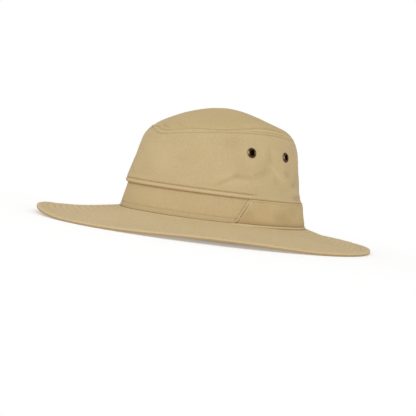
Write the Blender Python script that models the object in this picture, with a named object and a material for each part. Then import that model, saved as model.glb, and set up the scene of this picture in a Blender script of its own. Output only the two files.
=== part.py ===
"""A soft cotton sun hat: an oval crown with a domed tip and four vent eyelets, a wide drooping brim that it
stands on, and a pocket band round the back of the crown. Metres, +Z up, the front of the hat at -Y, the
wearer's left at +X. Angles round the hat run from the front towards the wearer's left."""

import bpy
import numpy as np
from mathutils import Matrix, Vector

# Crown: outside of the cloth where the wall meets the brim, and where the wall and the tip would meet if
# the shoulder between them were sharp
BASE_WIDTH = 0.174
BASE_LENGTH = 0.2125
TOP_WIDTH = 0.1328
TOP_LENGTH = 0.1750
TOP_HEIGHT = 0.1093
TOP_SIDE_RISE = 0.0110
TOP_BACK_RISE = 0.0028
SHOULDER = 0.0170
SEAM_ON_SHOULDER = 0.52
DOME_HEIGHT = 0.0250
DOME_POWER = 1.46
CROWN_SET_BACK = 0.0070
CROWN_CLOTH = 0.0016

# Tuck that is sewn round the wall, and the pocket band laid over the wall below it
TUCK_HEIGHT = 0.0254
TUCK_DEPTH = 0.0023
TUCK_FRONT_DEPTH = 0.0013
TUCK_LIP = 0.0022
TUCK_FADE = 0.030
BAND_CLOTH = 0.0014
BAND_END_LOW = 68.3
BAND_END_HIGH = 77.3
BAND_HEM_LIFT = 0.0006

# Brim, which droops from the crown to a rim that rests on the surface in three places
BRIM_WIDTH = 0.336
BRIM_LENGTH = 0.3725
BRIM_CLOTH = 0.0020
JOIN_HEIGHT = 0.0178
BRIM_FOOT = 0.0030
BRIM_HOLLOW = 0.0017
RIM_LIFT = 0.0073

# Eyelets
EYELET_WIDTH = 0.0104
EYELET_HOLE = 0.0048
EYELET_BARREL = 0.0064
EYELET_METAL = 0.0008
EYELET_WASHER = 0.0098
EYELET_HEIGHT = 0.750
EYELET_MIDDLE = 94.0
EYELET_SPREAD = 15.7
EYELET_SIDES = 12
# The rolled face of the flange, as shares of its radius and of the metal's thickness
EYELET_FACE_COLUMNS = ("radius", "rise")
EYELET_FACE = (
    (1.00, 0.0),
    (0.96, 0.7),
    (0.78, 1.3),
    (0.58, 1.1),
)

# Pieces that touch are modelled this far apart
GAP = 0.0003

# Soft folds of the wall
FOLD_DEPTH = 0.0034
FOLD_COLUMNS = ("angle", "height", "angle_reach", "height_reach", "depth")
FOLDS = (
    (74, 0.53, 15, 0.05, -0.50),
    (76, 0.42, 16, 0.06, 0.45),
    (95, 0.58, 6, 0.15, -0.55),
    (111, 0.48, 7, 0.12, 0.45),
    (128, 0.46, 9, 0.09, -0.45),
    (36, 0.60, 12, 0.20, -0.30),
    (12, 0.50, 14, 0.16, 0.35),
    (-20, 0.60, 12, 0.18, -0.35),
    (-52, 0.50, 14, 0.12, 0.35),
    (-76, 0.52, 12, 0.07, -0.45),
    (-98, 0.55, 7, 0.14, -0.45),
    (-132, 0.50, 12, 0.10, 0.40),
    (165, 0.55, 12, 0.12, -0.40),
    (-168, 0.42, 13, 0.08, 0.35),
)

# Lifts of the rim between the places where it rests, as shares of RIM_LIFT
LIFT_COLUMNS = ("angle", "reach", "share")
LIFTS = (
    (58, 44, 0.54),
    (-37, 42, 1.00),
    (180, 45, 0.25),
)

STATIONS = 60
WALL_ROWS = 8
SHOULDER_ROWS = 3
DOME_ROWS = 6
BAND_STATIONS = 43
BAND_ROWS = 4
BRIM_SHARES = (0, 0.12, 0.3, 0.5, 0.7, 0.86)
SMOOTH_ANGLE = 40
CLIMB_MOST = 2.98
CLIMB_STEP = 1e-4

CLOTH_COLOUR = (0.57, 0.44, 0.25)
BRASS_COLOUR = (0.16, 0.11, 0.06)


def clear_scene():
    for thing in list(bpy.data.objects):
        bpy.data.objects.remove(thing, do_unlink=True)


def material(name, colour, roughness, metallic):
    made = bpy.data.materials.new(name)
    made.use_nodes = True
    shader = made.node_tree.nodes["Principled BSDF"]
    shader.inputs["Base Color"].default_value = (*colour, 1)
    shader.inputs["Roughness"].default_value = roughness
    shader.inputs["Metallic"].default_value = metallic
    return made


def oval(width, length, angle, set_back=0.0):
    """Points of an ellipse in plan, at angles from the front towards the wearer's left."""
    return np.stack([width / 2 * np.sin(angle), set_back - length / 2 * np.cos(angle)], axis=-1)


def raised(plan, height):
    """Points in plan with their heights."""
    return np.concatenate([plan, np.broadcast_to(height, plan.shape[:-1])[..., None]], axis=-1)


def top_height(angle):
    side = -TOP_SIDE_RISE / 2 * np.cos(2 * angle)
    return TOP_HEIGHT + side - TOP_BACK_RISE / 2 * np.cos(angle)


def wall_point(share, angle):
    """The wall as a straight line from the join to the sharp shoulder."""
    low = raised(oval(BASE_WIDTH, BASE_LENGTH, angle, CROWN_SET_BACK), JOIN_HEIGHT)
    high = raised(oval(TOP_WIDTH, TOP_LENGTH, angle, CROWN_SET_BACK), top_height(angle))
    return low + (high - low) * np.asarray(share)[..., None]


def dome_point(share, angle):
    """The tip as a dome over the sharp shoulder, from its middle at 0 to the shoulder at 1."""
    plan = oval(TOP_WIDTH * share, TOP_LENGTH * share, angle, CROWN_SET_BACK)
    rim = TOP_HEIGHT + (top_height(angle) - TOP_HEIGHT) * share
    return raised(plan, rim + DOME_HEIGHT * (1 - share**DOME_POWER))


def wall_end():
    return 1 - SHOULDER / (TOP_HEIGHT - JOIN_HEIGHT)


def dome_end():
    return 1 - 4 * SHOULDER / (TOP_WIDTH + TOP_LENGTH)


def crown_point(climb, angle):
    """The crown without its folds. Climb runs from 0 at the join to 1 at the shoulder's foot, 2 at its top
    and 3 at the middle of the tip, and the shoulder is a curve that both ends run into."""
    climb = np.asarray(climb, float)
    wall = wall_point(np.clip(climb, 0, 1) * wall_end(), angle)
    dome = dome_point(np.clip(3 - climb, 0, 1) * dome_end(), angle)
    bend = np.clip(climb - 1, 0, 1)[..., None]
    corner = wall_point(np.ones_like(climb), angle)
    foot = wall_point(np.full_like(climb, wall_end()), angle)
    head = dome_point(np.full_like(climb, dome_end()), angle)
    shoulder = (1 - bend) ** 2 * foot + 2 * bend * (1 - bend) * corner + bend**2 * head
    return np.where(climb[..., None] <= 1, wall, np.where(climb[..., None] >= 2, dome, shoulder))


def outward(surface, climb, angle, step):
    """The outward direction of a surface, from short steps up it and along it, which stay short of the middle
    of the tip, where no way is along it."""
    climb = np.minimum(climb, CLIMB_MOST)
    up = surface(climb + step, angle) - surface(climb - step, angle)
    along = surface(climb, angle + step) - surface(climb, angle - step)
    normal = np.cross(along, up)
    return normal / np.linalg.norm(normal, axis=-1, keepdims=True)


def crown_normal(climb, angle):
    return outward(crown_point, climb, angle, CLIMB_STEP)


def angle_from(angle, centre):
    """Signed angle from a centre given in degrees, in radians."""
    return (angle - np.radians(centre) + np.pi) % (2 * np.pi) - np.pi


def relief(climb, angle):
    """How far the folds and the tuck stand out of the plain wall."""
    share = np.clip(climb, 0, 1) * wall_end()
    above = share * (top_height(angle) - JOIN_HEIGHT) - TUCK_HEIGHT
    tuck = np.clip(above / TUCK_LIP, 0, 1) * np.exp(-np.clip(above - TUCK_LIP, 0, None) / TUCK_FADE)
    folds = 0.0
    for row in FOLDS:
        fold = dict(zip(FOLD_COLUMNS, row))
        across = angle_from(angle, fold["angle"]) / np.radians(fold["angle_reach"])
        rise = (share - fold["height"]) / fold["height_reach"]
        folds = folds + fold["depth"] * np.exp(-(across**2) - rise**2)
    clear = np.clip((above - TUCK_LIP) / TUCK_FADE, 0, 1) * np.clip(3 - 2 * climb, 0, 1)
    depth = TUCK_DEPTH + TUCK_FRONT_DEPTH * np.cos(angle)
    return depth * tuck + FOLD_DEPTH * folds * clear


def crown_surface(climb, angle, depth=0.0):
    """The crown's cloth, at a depth below its outer face."""
    out = np.asarray(relief(climb, angle) - depth)[..., None]
    return crown_point(climb, angle) + out * crown_normal(climb, angle)


def climb_at(height, angle):
    """Climb at a height above the join, on the straight wall."""
    return height / ((top_height(angle) - JOIN_HEIGHT) * wall_end())


def rim_lift(angle):
    """Height of the rim's underside, 0 where it rests: a sum of smooth humps that each end flat."""
    total = 0.0
    for row in LIFTS:
        lift = dict(zip(LIFT_COLUMNS, row))
        across = np.abs(angle_from(angle, lift["angle"])) / np.radians(lift["reach"])
        hump = np.cos(np.pi / 2 * np.minimum(across, 1)) ** 2
        total = total + lift["share"] * np.where(across < 1, hump, 0)
    return RIM_LIFT * total


def brim_point(share, angle, depth=0.0):
    """The brim from the crown's foot at 0 to the rim at 1, at a depth below its upper face."""
    inner = oval(BASE_WIDTH, BASE_LENGTH, angle, CROWN_SET_BACK)
    outer = oval(BRIM_WIDTH, BRIM_LENGTH, angle)
    plan = inner + (outer - inner) * np.asarray(share)[..., None]
    fall = (JOIN_HEIGHT - GAP) * (1 - share) + (rim_lift(angle) + BRIM_CLOTH) * share
    return raised(plan, fall - 4 * BRIM_HOLLOW * share * (1 - share) - depth)


def stations():
    return np.arange(STATIONS) * 2 * np.pi / STATIONS


def mesh_object(name, points, faces, finish):
    mesh = bpy.data.meshes.new(name)
    mesh.from_pydata([tuple(point) for point in points], [], faces)
    mesh.validate()
    mesh.shade_smooth()
    mesh.set_sharp_from_angle(angle=np.radians(SMOOTH_ANGLE))
    mesh.materials.append(finish)
    made = bpy.data.objects.new(name, mesh)
    bpy.context.collection.objects.link(made)
    return made


def ring_of_sections(name, sections, finish):
    """A closed ring: section i joins section i + 1, and the last joins the first."""
    count, corners = sections.shape[:2]
    faces = []
    for i in range(count):
        for j in range(corners):
            here, ahead = i * corners, (i + 1) % count * corners
            after = (j + 1) % corners
            faces.append((here + j, ahead + j, ahead + after, here + after))
    return mesh_object(name, sections.reshape(-1, 3), faces, finish)


def strip_of_sections(name, sections, finish):
    """An open run of sections with a flat cap at each end."""
    count, corners = sections.shape[:2]
    faces = [tuple(range(corners))]
    for i in range(count - 1):
        for j in range(corners):
            here, ahead = i * corners, (i + 1) * corners
            after = (j + 1) % corners
            faces.append((here + j, ahead + j, ahead + after, here + after))
    faces.append(tuple(range(count * corners - 1, (count - 1) * corners - 1, -1)))
    return mesh_object(name, sections.reshape(-1, 3), faces, finish)


def wall_climbs(angle):
    """Rows of the wall at one station: level rows up to the tuck's lip, then even rows up to the seam."""
    heights = (0.0, TUCK_HEIGHT / 2, TUCK_HEIGHT, TUCK_HEIGHT + TUCK_LIP)
    low = [climb_at(height, angle) for height in heights]
    rows = np.linspace(low[-1], 1, WALL_ROWS + 1)[1:]
    seam_gap = GAP / (2 * SHOULDER)
    shoulder = np.linspace(1, 1 + SEAM_ON_SHOULDER - seam_gap, SHOULDER_ROWS)[1:]
    return np.concatenate([low, rows, shoulder])


def crown_side(finish):
    """Side wall: one ring of closed sections, up the outer face and down the inner one."""
    sections = []
    for angle in stations():
        climbs = wall_climbs(angle)
        angles = np.full_like(climbs, angle)
        outer = crown_surface(climbs, angles)
        inner = crown_surface(climbs, angles, CROWN_CLOTH)
        inner[0, 2] = outer[0, 2]
        sections.append(np.concatenate([outer, inner[::-1]]))
    return ring_of_sections("crown_side", np.array(sections), finish)


def crown_tip(finish):
    """Domed oval top panel, from the seam on the shoulder to the middle, with an inner and an outer skin."""
    seam_gap = GAP / (2 * SHOULDER)
    shoulder = np.linspace(1 + SEAM_ON_SHOULDER + seam_gap, 2, SHOULDER_ROWS)
    dome = 3 - (1 - np.arange(1, DOME_ROWS) / DOME_ROWS)
    climbs, angles = np.meshgrid(np.concatenate([shoulder, dome]), stations(), indexing="ij")
    skins = [crown_surface(climbs, angles, depth) for depth in (0.0, CROWN_CLOTH)]
    rows = len(climbs)
    points = np.concatenate([skin.reshape(-1, 3) for skin in skins])
    middle = dome_point(np.zeros(1), np.zeros(1))
    points = np.concatenate([points, middle, middle - (0, 0, CROWN_CLOTH)])
    below = rows * STATIONS
    faces = []
    for j in range(STATIONS):
        after = (j + 1) % STATIONS
        for i in range(rows - 1):
            here, ahead = i * STATIONS, (i + 1) * STATIONS
            faces.append((here + j, here + after, ahead + after, ahead + j))
            faces.append((below + here + j, below + ahead + j, below + ahead + after, below + here + after))
        last = (rows - 1) * STATIONS
        faces.append((last + j, last + after, 2 * below))
        faces.append((below + last + after, below + last + j, 2 * below + 1))
        faces.append((j, below + j, below + after, after))
    return mesh_object("crown_tip", points, faces, finish)


def brim(finish):
    """Two-layer brim: one ring of closed sections, with a flat foot under the rim."""
    angle = stations()
    outer_span = (BRIM_WIDTH - BASE_WIDTH) / 2
    foot = 1 - BRIM_FOOT / outer_span
    collar = -CROWN_CLOTH / outer_span
    shares = (*BRIM_SHARES, foot)
    inner_edge = brim_point(np.full_like(angle, collar), angle)
    inner_edge[:, 2] = JOIN_HEIGHT - GAP
    upper = [brim_point(np.full_like(angle, share), angle) for share in (1, *shares[::-1])]
    lower = [brim_point(np.full_like(angle, share), angle, BRIM_CLOTH) for share in (*shares, 1)]
    lower[-2][:, 2] = rim_lift(angle)
    sections = np.stack([*upper, inner_edge, inner_edge - (0, 0, BRIM_CLOTH), *lower], axis=1)
    return ring_of_sections("brim", sections, finish)


def side_band(finish):
    """Pocket band over the lower wall, from one slanted front end round the back to the other."""
    runs = np.linspace(-1, 1, BAND_STATIONS)
    rises = np.linspace(0, 1, BAND_ROWS)
    sections = []
    for run in runs:
        corners = []
        for clearance, order in ((GAP + BAND_CLOTH, rises), (GAP, rises[::-1])):
            for rise in order:
                end = np.radians(BAND_END_LOW + (BAND_END_HIGH - BAND_END_LOW) * rise)
                angle = np.pi + run * (np.pi - end)
                height = BAND_HEM_LIFT + (TUCK_HEIGHT - GAP - BAND_HEM_LIFT) * rise
                climb = climb_at(height, angle)
                out = clearance * crown_normal(climb, angle)
                corners.append(crown_point(climb, angle) + out)
        sections.append(corners)
    return strip_of_sections("side_band", np.array(sections), finish)


def turned(radius, height):
    """Points round an eyelet's axis."""
    turn = np.arange(EYELET_SIDES) * 2 * np.pi / EYELET_SIDES
    return np.stack([radius * np.cos(turn), radius * np.sin(turn), np.full_like(turn, height)], axis=-1)


def eyelet_frame(angle_degrees):
    """Place and direction of an eyelet on the wall."""
    angle = np.radians(angle_degrees)
    climb = EYELET_HEIGHT / wall_end()
    place = Vector(crown_surface(climb, angle))
    seat = EYELET_WIDTH / BASE_LENGTH
    out = Vector(outward(crown_surface, climb, angle, seat))
    turn = out.to_track_quat("Z", "Y").to_matrix().to_4x4()
    return Matrix.Translation(place) @ turn


def eyelet(name, frame, finish):
    """Rolled brass eyelet: a domed flange outside, a barrel through the cloth and a washer inside."""
    hole, barrel, washer = EYELET_HOLE / 2, EYELET_BARREL / 2, EYELET_WASHER / 2
    back = -CROWN_CLOTH - GAP
    profile = [
        (hole, back - EYELET_METAL),
        (washer, back - EYELET_METAL),
        (washer, back),
        (barrel, back),
        (barrel, GAP),
    ]
    for row in EYELET_FACE:
        face = dict(zip(EYELET_FACE_COLUMNS, row))
        profile.append((EYELET_WIDTH / 2 * face["radius"], GAP + EYELET_METAL * face["rise"]))
    profile.append((hole, GAP))
    sections = np.stack([turned(radius, height) for radius, height in profile], axis=1)
    made = ring_of_sections(name, sections, finish)
    made.matrix_world = frame
    return made


def eyelet_hole(wall, name, frame):
    """Cuts the cloth round an eyelet's barrel with a hidden cylinder."""
    radius = EYELET_BARREL / 2 + GAP
    reach = 4 * CROWN_CLOTH
    ends = np.concatenate([turned(radius, -reach), turned(radius, reach)])
    faces = [tuple(range(EYELET_SIDES))[::-1], tuple(range(EYELET_SIDES, 2 * EYELET_SIDES))]
    for i in range(EYELET_SIDES):
        after = (i + 1) % EYELET_SIDES
        faces.append((i, after, EYELET_SIDES + after, EYELET_SIDES + i))
    cutter = mesh_object(name + "_cutter", ends, faces, wall.data.materials[0])
    cutter.matrix_world = frame
    cutter.hide_render = True
    cutter.display_type = "WIRE"
    cut = wall.modifiers.new(name, "BOOLEAN")
    cut.operation = "DIFFERENCE"
    cut.object = cutter
    return cutter


def main():
    clear_scene()
    hat = bpy.data.objects.new("sun_hat", None)
    bpy.context.collection.objects.link(hat)
    wall = crown_side(material("wall_cotton", CLOTH_COLOUR, 0.9, 0))
    pieces = [
        wall,
        crown_tip(material("tip_cotton", CLOTH_COLOUR, 0.9, 0)),
        brim(material("brim_cotton", CLOTH_COLOUR, 0.9, 0)),
        side_band(material("band_cotton", CLOTH_COLOUR, 0.9, 0)),
    ]
    for side, sign in (("left", 1), ("right", -1)):
        for end, spread in (("front", -EYELET_SPREAD), ("rear", EYELET_SPREAD)):
            name = f"eyelet_{side}_{end}"
            frame = eyelet_frame(sign * (EYELET_MIDDLE + spread))
            pieces.append(eyelet(name, frame, material(name + "_brass", BRASS_COLOUR, 0.4, 1)))
            pieces.append(eyelet_hole(wall, name, frame))
    for piece in pieces:
        piece.parent = hat


main()
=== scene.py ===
"""A soft cotton sun hat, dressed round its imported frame: a stitched crown wall with a rolled tuck and brass
vent eyelets, a domed tip, a row-stitched brim and a pocket band. Metres, +Z up, the front of the hat at -Y,
the wearer's left at +X. Angles round the hat run from the front towards the wearer's left."""

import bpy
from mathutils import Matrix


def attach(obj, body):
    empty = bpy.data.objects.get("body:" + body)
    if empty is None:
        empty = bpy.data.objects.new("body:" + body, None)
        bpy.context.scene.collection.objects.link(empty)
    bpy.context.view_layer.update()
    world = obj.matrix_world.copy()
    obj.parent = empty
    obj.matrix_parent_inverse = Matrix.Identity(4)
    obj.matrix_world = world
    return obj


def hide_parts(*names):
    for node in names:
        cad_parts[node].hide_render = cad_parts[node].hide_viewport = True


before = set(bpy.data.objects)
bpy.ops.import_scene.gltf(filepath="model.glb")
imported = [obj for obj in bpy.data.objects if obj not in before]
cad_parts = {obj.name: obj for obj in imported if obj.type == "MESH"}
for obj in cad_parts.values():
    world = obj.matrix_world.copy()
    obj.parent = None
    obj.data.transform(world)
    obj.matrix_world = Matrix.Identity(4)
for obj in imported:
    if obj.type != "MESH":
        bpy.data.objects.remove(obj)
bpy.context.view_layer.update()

import bpy
import numpy as np
from mathutils import Matrix, Vector

bl_info = {
    "name": "Sun hat",
    "version": (1, 0, 0),
    "blender": (4, 5, 0),
    "location": "3D View > Sidebar > Sun hat",
    "description": "Makes the cloth, stitching and eyelets of a cotton sun hat, and a plain studio round it",
    "category": "Object",
}

MM = 0.001
BODY = "root"


def table(columns, *rows):
    """Rows of values under the names of their columns."""
    names = columns.split()
    return [dict(zip(names, row)) for row in rows]


# Form of the crown and of the brim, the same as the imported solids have
BASE_WIDTH = 0.174
BASE_LENGTH = 0.2125
TOP_WIDTH = 0.1328
TOP_LENGTH = 0.1750
TOP_HEIGHT = 0.1093
TOP_SIDE_RISE = 0.0110
TOP_BACK_RISE = 0.0028
SHOULDER = 0.0170
SEAM_ON_SHOULDER = 0.52
DOME_HEIGHT = 0.0250
DOME_POWER = 1.46
CROWN_SET_BACK = 0.0070
CROWN_CLOTH = 0.0016
TUCK_HEIGHT = 0.0254
TUCK_DEPTH = 0.0023
TUCK_FRONT_DEPTH = 0.0013
TUCK_LIP = 0.0022
TUCK_FADE = 0.030
BAND_CLOTH = 0.0014
BAND_END_LOW = 68.3
BAND_END_HIGH = 77.3
BAND_HEM_LIFT = 0.0006
BRIM_WIDTH = 0.336
BRIM_LENGTH = 0.3725
BRIM_CLOTH = 0.0020
JOIN_HEIGHT = 0.0178
BRIM_FOOT = 0.0030
BRIM_HOLLOW = 0.0017
RIM_LIFT = 0.0073
EYELET_WIDTH = 0.0104
EYELET_HOLE = 0.0048
EYELET_BARREL = 0.0064
EYELET_METAL = 0.0008
EYELET_WASHER = 0.0098
EYELET_HEIGHT = 0.750
EYELET_MIDDLE = 94.0
EYELET_SPREAD = 15.7
GAP = 0.0003
FOLD_DEPTH = 0.0034
FOLDS = table(
    "angle height reach height_reach depth",
    (74, 0.53, 15, 0.05, -0.50),
    (76, 0.42, 16, 0.06, 0.45),
    (95, 0.58, 6, 0.15, -0.55),
    (111, 0.48, 7, 0.12, 0.45),
    (128, 0.46, 9, 0.09, -0.45),
    (36, 0.60, 12, 0.20, -0.30),
    (12, 0.50, 14, 0.16, 0.35),
    (-20, 0.60, 12, 0.18, -0.35),
    (-52, 0.50, 14, 0.12, 0.35),
    (-76, 0.52, 12, 0.07, -0.45),
    (-98, 0.55, 7, 0.14, -0.45),
    (-132, 0.50, 12, 0.10, 0.40),
    (165, 0.55, 12, 0.12, -0.40),
    (-168, 0.42, 13, 0.08, 0.35),
)
LIFTS = table(
    "angle reach share",
    (58, 44, 0.54),
    (-37, 42, 1.00),
    (180, 45, 0.25),
)
CLIMB_MOST = 2.98
CLIMB_STEP = 1e-4
SEAM = 1 + SEAM_ON_SHOULDER
BRIM_SPAN = (BRIM_WIDTH - BASE_WIDTH) / 2
BASE_RADIUS = (BASE_WIDTH + BASE_LENGTH) / 4
BAND_RADIUS = 0.094

# Fine shape of the cloth, which the solids leave out. A pair says from which angle, and over how much more,
# something grows or ends.
SEAM_GAP = 0.01 * MM
SEAM_CLEAR = 0.9 * MM
DITCH_DEPTH = 0.35 * MM
DITCH_WIDTH = 0.4 * MM
GROOVE_DEPTH = 0.42 * MM
GROOVE_WIDTH = 0.7 * MM
QUILT_DEPTH = 0.32 * MM
QUILT_WIDTH = 0.6 * MM
LIP_ROW = 4.5 * MM
LIP_ROW_LIMIT = 80
LIP_ROW_END = (1.31, 0.18)
HEM_ROW = 4.6 * MM
HEM_ROW_LIMIT = 66.4
PUFF_START = 8 * MM
TUCK_FULLNESS = 0.28
LIP_PRESS = 0.6
LIP_PRESS_AT = 142
LIP_PRESS_REACH = 24
PIPING_AT = 1.9 * MM
PIPING_PAST_BAND = 0.6 * MM
PIPING_RISE = 2.0 * MM
PIPING_WIDTH = 0.8 * MM
PIPING_BEHIND = (BAND_END_LOW - 3, 6)
PIPING_SIDE = (78, 24)
RIM_ROLL = 1.5 * MM
RIM_ROLL_AT = 4.5 * MM
RIM_ROLL_WIDTH = 5.0 * MM
RIM_EDGE = 1.8 * MM
RIM_SEAM_DEPTH = 0.35 * MM
RIM_FULLNESS = (0.85, 0.35)
# Painted shade over the lower half of the rim's folded edge
RIM_SHADE = -0.55
EYELET_PRESS = 0.25 * MM
PLEAT_RISE = 0.18 * MM
PLEATS_AT = 7 * MM
TIP_LAST = 2.985

# Crumple: size and seed of its soft creases and of its sharper ones, and the share of the sharper ones.
# The brim has soft ones alone.
WALL_CRUMPLE = ((30 * MM, 5), (22 * MM, 9), 0.6)
TIP_CRUMPLE = ((45 * MM, 21), (30 * MM, 23), 0.5)
BAND_CRUMPLE = ((24 * MM, 41), (18 * MM, 43), 0.5)
BRIM_CRUMPLE = (60 * MM, 33)
BRIM_WAVE = 0.5 * MM

# Painted shade on the inside and on the underside
INSIDE_SHADE = -0.15
BAND_INSIDE_SHADE = -0.2
UNDER_SHADE = -0.1

# Stations round the hat, and across each section: above the join, above the tuck, from the rows beside
# the tip's seam, from the rows of the brim and its rim, and from the edges of the band. Steps between them,
# and sides of the holes and of the eyelets.
STATIONS = 480
WALL_STATIONS = MM * np.array((0, 0.5, 1.5, 3, 3.9, 4.3, 4.6, 4.9, 5.3, 6.2, *range(8, 26, 2), 25))
LIP_STATIONS = MM * np.array((0, 0.1, 0.3, 0.6, 1, 1.5, 2.1, 2.8, 3.4, 3.8, 4.15, 4.5, 4.85, 5.2, 5.7, 6.5))
WALL_ROW_STATIONS = MM * np.array((5.5, 4.2, 3.2, 2.4, 1.7, 1.2, 0.8, 0.5, 0.25, 0, -0.25, -0.5, -0.8))
TIP_ROW_STATIONS = MM * np.array((-0.8, -0.5, -0.25, 0, 0.25, 0.5, 0.8, 1.2, 1.8, 2.6, 3.6))
GROOVE_STATIONS = MM * np.array((-0.9, -0.45, 0, 0.45, 0.9))
EDGE_STATIONS = MM * np.array((2.1, 2.6, 3.2, 3.7))
MOUTH_STATIONS = MM * np.array((0, 0.12, 0.3, 0.6, 0.9, 1.3, 1.6, 1.9, 2.2, 2.6, 3.4, 4.5))
SIDE_STATIONS = MM * np.array((0, 0.12, 0.3, 0.6, 0.9))
TOP_ROW_STATIONS = MM * np.array((2.5, 2.2, 1.9, 1.6, 1.3))
WALL_STEPS = 40
SHOULDER_STEPS = 6
TIP_STEPS = 46
RIM_STEPS = 13
BAND_STEPS = (330, 26)
HOLE_SIDES = 32
EYELET_SIDES = 56

# Samples of the paths that rows of stitches follow
FRONT_PATH = 400
BAND_PATH = 900
MOUTH_PATH = 80
TACK_PATH = 40

# Dents and puffs of the band, in degrees and millimetres, with their tone: painted shade where it is
# negative and painted highlight where it is positive
BAND_DENTS = table(
    "angle height reach height_reach rise tone",
    (77, 3.5, 9, 3.0, -0.3, -0.14),
    (76, 10, 4, 4.0, -0.2, -0.14),
    (80, 21, 3, 4.0, 0.2, 0.15),
    (90, 7, 6, 3.0, 0.2, 0.06),
    (98, 9, 6, 4.0, -0.2, -0.10),
    (104, 12, 5, 8.0, -0.3, -0.10),
    (102, 22, 5, 0.8, 0.0, -0.15),
    (127, 12, 8, 9.0, 0.4, 0.12),
    (150, 10, 9, 7.0, -0.4, -0.08),
    (-168, 14, 10, 6.0, 0.4, 0.06),
    (-130, 9, 8, 6.0, -0.4, -0.10),
    (-98, 12, 7, 7.0, 0.3, 0.06),
    (-80, 5, 7, 4.0, -0.3, -0.15),
)
BAND_BULGE = 0.5 * MM
BAND_FLARE = 0.6 * MM
BAND_CRUMPLE_RISE = 0.4 * MM
BAND_TOP_GAP = 0.05 * MM
MOUTH_LIFT = 0.6 * MM
MOUTH_REACH = 9 * MM
EDGE_ROUND = 0.5 * MM
HIDDEN_ROUND = 0.15 * MM

# Where the soft rim hangs lower or stands up, in degrees and metres
RIM_BENDS = table(
    "angle reach inset droop",
    (-40, 26, 12 * MM, 1.5 * MM),
    (142, 15, 16 * MM, -1.4 * MM),
)

# How the rows beside the tip's seam wander, below it (-1) or above it (1), in degrees and metres
ROW_WANDER = table(
    "side angle reach shift",
    (-1, -11, 7, -1.2 * MM),
    (-1, 6, 11, 2.6 * MM),
    (-1, -105, 16, 0.6 * MM),
    (-1, 155, 20, -0.5 * MM),
    (1, -12, 7, 1.4 * MM),
    (1, 5, 9, -1.4 * MM),
    (1, 33, 13, 1.6 * MM),
    (1, 57, 16, -1.5 * MM),
    (1, 98, 20, 3.2 * MM),
    (1, -60, 16, 1.2 * MM),
    (1, -125, 20, -0.9 * MM),
    (1, 165, 18, 1.0 * MM),
)

# Places where the crown puffs out or sinks, in degrees, climbs and metres
PUFFS = table(
    "angle climb reach climb_reach rise",
    (-40, 0.80, 42, 0.45, 1.4 * MM),
    (-45, 2.45, 60, 0.32, 1.5 * MM),
    (140, 1.80, 42, 0.45, 2.8 * MM),
    (138, 0.45, 35, 0.35, -1.0 * MM),
    (106, 2.50, 24, 0.30, 0.9 * MM),
)

# Creases of the crown's cloth from one angle and climb to another, with their width and depth in
# millimetres and how much shade is painted along them, a negative shade being a painted highlight. A
# negative depth is a ridge.
CREASES = table(
    "angle climb end_angle end_climb width depth shade",
    (-12, 1.84, 7, 1.68, 0.8, 0.8, 0.25),
    (0, 2.05, 27, 1.68, 1.0, 0.4, 0.10),
    (54, 0.45, 71, 0.635, 2.2, 0.7, 0.15),
    (66, 0.605, 80, 0.602, 2.6, 0.9, 0.17),
    (80, 0.60, 92, 0.70, 3.0, 0.7, 0.11),
    (68, 0.50, 90, 0.50, 4.5, -0.8, -0.12),
    (94, 0.80, 107, 0.57, 2.4, -1.0, -0.20),
    (98, 0.62, 100, 0.54, 2.5, 0.7, 0.14),
    (107, 0.71, 114, 0.68, 3.5, 0.9, 0.16),
    (93, 1.05, 95, 0.80, 3.0, 0.7, 0.10),
    (87, 1.10, 89, 0.80, 3.0, -0.5, -0.06),
    (116, 0.55, 127, 0.60, 3.0, 0.9, 0.16),
    (112, 0.47, 130, 0.49, 4.0, -0.8, -0.12),
    (118, 0.39, 146, 0.395, 2.4, 1.3, 0.3),
    (20, 0.90, 34, 0.72, 4.0, 0.3, 0.03),
    (-30, 0.60, -8, 0.50, 3.0, 0.6, 0.10),
    (-62, 0.52, -44, 0.62, 3.0, -0.6, -0.10),
    (-95, 1.10, -106, 0.55, 3.5, -0.8, -0.12),
    (-100, 0.80, -110, 0.58, 3.0, 0.7, 0.12),
    (-118, 0.50, -140, 0.62, 3.0, 0.7, 0.12),
    (160, 0.55, 186, 0.48, 3.2, 0.7, 0.12),
    (174, 1.60, 181, 1.75, 1.3, 0.6, 0.15),
    (-70, 1.58, -63, 1.70, 1.3, 0.6, 0.15),
    (-150, 2.20, -90, 2.30, 4.0, 0.4, 0.04),
)

# The crown's cloth unrolled: metres for each radian round it, and its height at climbs 0 to 3
UNROLLED_GIRTH = 85 * MM
UNROLLED_RISE = (0.0, 76 * MM, 103 * MM, 165 * MM)

# Bar tacks: distance from the band's front edge and share of its rise, at the foot and head of each
BAND_TACKS = table(
    "start end low high",
    (2.0 * MM, 2.2 * MM, 0.70, 0.96),
    (5.0 * MM, 5.0 * MM, 0.71, 0.96),
    (2.2 * MM, 5.0 * MM, 0.70, 0.70),
    (1.6 * MM, 1.6 * MM, 0.05, 0.24),
)

# Stitch: places along it as shares of its length, with its girth and its sink into the cloth there
STITCH_SIDES = 5
STITCH_STEP = 0.2 * MM
STITCH_AT = np.array((-0.5, -0.28, 0.28, 0.5))
STITCH_GIRTH = np.array((0.35, 1.0, 1.0, 0.35))
STITCH_SINK = np.array((1.0, 0.0, 0.0, 1.0))

# Length of a wave texture's repeat, in its own unit
WAVE_REPEAT = 0.31416

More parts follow.
